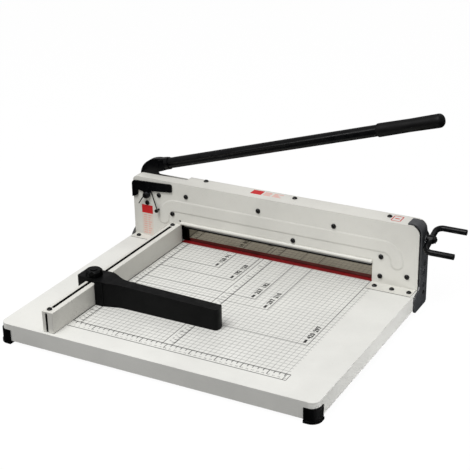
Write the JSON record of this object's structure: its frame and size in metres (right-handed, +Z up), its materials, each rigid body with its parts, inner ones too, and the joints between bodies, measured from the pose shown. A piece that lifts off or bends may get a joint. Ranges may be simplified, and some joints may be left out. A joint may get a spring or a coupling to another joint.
{
  "type": "guillotine paper cutter",
  "caption": "Heavy stack cutter for A3 paper: long lever lowers a full-width blade onto a cutting stick, behind a screw-driven paper clamp, with side fence and sliding back gauge.",
  "frame": {"origin": "on the ground plane under the middle of the bounding box of the whole machine, lever down", "axes": "+X along the blade away from the side fence, +Y from the operator to the back, +Z up; the feet rest on Z = 0"},
  "size_m": [0.714, 0.5302, 0.3866],
  "materials": {
    "table_paint": "satin powder coat",
    "housing_paint": "satin powder coat",
    "black_enamel": "semi-gloss black enamel",
    "side_plate_paint": "satin dark grey coat",
    "black_plastic": "moulded, fine texture",
    "grip": "soft moulded grip",
    "screw_black": "black oxide",
    "blade_steel": "ground and polished",
    "steel": "machined",
    "zinc": "zinc plated",
    "bronze": "sintered bronze",
    "stick_red": "dark red plastic",
    "rubber": "matte"
  },
  "bodies": {
    "housing": {"base_tray": "table_paint", "base_ribs": "zinc", "corner_feet": "black_plastic", "foot_pads": "rubber", "foot_screws": "zinc", "cutting_stick": "stick_red", "stick_channel": "zinc", "front_panel": "housing_paint", "rear_panel": "housing_paint", "left_side_plate": "side_plate_paint", "right_side_plate": "side_plate_paint", "housing_spacers": "zinc", "panel_screws": "screw_black", "top_screws": "screw_black", "flange_screws": "screw_black", "rear_screws": "screw_black", "side_plate_screws": "screw_black", "fence_rail": "housing_paint", "fence_screws": "screw_black", "fence_nuts": "zinc", "lever_bolt": "screw_black", "lever_spacer": "zinc", "lever_nut": "zinc", "link_stud": "steel", "link_spacer": "zinc", "link_nut": "zinc", "slider_rail": "steel", "slider_stud": "screw_black", "blade_guides": "bronze", "screw_bush": "zinc", "latch_bolt": "screw_black", "latch_spring": "steel", "spring_post": "screw_black"},
    "lever": {"lever_hub": "black_enamel", "lever_tube": "black_enamel", "lever_grip": "grip", "tube_pin": "screw_black", "lever_bush": "bronze"},
    "blade_carriage": {"blade_carrier": "steel", "blade": "blade_steel", "blade_bolts": "screw_black", "carrier_pins": "steel"},
    "link": {"link_arm": "steel"},
    "clamp_spindle": {"clamp_screw": "zinc", "screw_collar": "steel", "clamp_handle": "black_enamel", "handle_nut": "screw_black"},
    "clamp_slide": {"clamp_slider": "steel", "nut_block": "bronze", "nut_block_screws": "zinc"},
    "clamp": {"clamp_bar": "steel", "clamp_pad": "rubber", "clamp_pins": "steel"},
    "gauge": {"gauge_body": "black_plastic", "gauge_bolt": "zinc", "gauge_washer": "zinc"},
    "gauge_knob": {"gauge_knob": "black_plastic"},
    "latch": {"latch_plate": "black_enamel"}
  },
  "joints": [
    {"name": "lever_swing", "type": "hinge", "parent": "housing", "child": "lever", "pos_m": [-0.28755, 0.23121, 0.1374], "axis": [0, -1, 0], "range_deg": [0, 50]},
    {"name": "carriage_level", "type": "hinge", "parent": "lever", "child": "blade_carriage", "pos_m": [-0.24746, 0.23121, 0.09731], "axis": [0, -1, 0], "range_deg": [-50, 0]},
    {"name": "link_swing", "type": "hinge", "parent": "housing", "child": "link", "pos_m": [0.13545, 0.22821, 0.1374], "axis": [0, -1, 0], "range_deg": [0, 50]},
    {"name": "clamp_screw_turn", "type": "hinge", "parent": "housing", "child": "clamp_spindle", "pos_m": [0.28395, 0.22391, 0.1405], "axis": [-1, 0, 0], "range_deg": [-990, 2682]},
    {"name": "clamp_slide_travel", "type": "slide", "parent": "housing", "child": "clamp_slide", "axis": [1, 0, 0], "range_m": [-0.011, 0.0298]},
    {"name": "clamp_travel", "type": "slide", "parent": "housing", "child": "clamp", "axis": [0, 0, -1], "range_m": [-0.011, 0.0298]},
    {"name": "gauge_travel", "type": "slide", "parent": "housing", "child": "gauge", "axis": [0, 1, 0], "range_m": [-0.11, 0.235]},
    {"name": "gauge_knob_turn", "type": "hinge", "parent": "gauge", "child": "gauge_knob", "pos_m": [-0.24985, -0.10129, 0.095], "axis": [0, 0, 1], "range_deg": [0, 360]},
    {"name": "latch_swing", "type": "hinge", "parent": "housing", "child": "latch", "pos_m": [-0.31605, 0.19581, 0.135], "axis": [0, -1, 0], "range_deg": [0, 10]}
  ],
  "couplings": [
    {"joint": "carriage_level", "follows": "lever_swing", "ratio": -1},
    {"joint": "link_swing", "follows": "lever_swing", "ratio": 1},
    {"joint": "clamp_slide_travel", "follows": "clamp_travel", "ratio": 1},
    {"joint": "clamp_screw_turn", "follows": "clamp_travel", "rad_per_m": 1570.8}
  ]
}
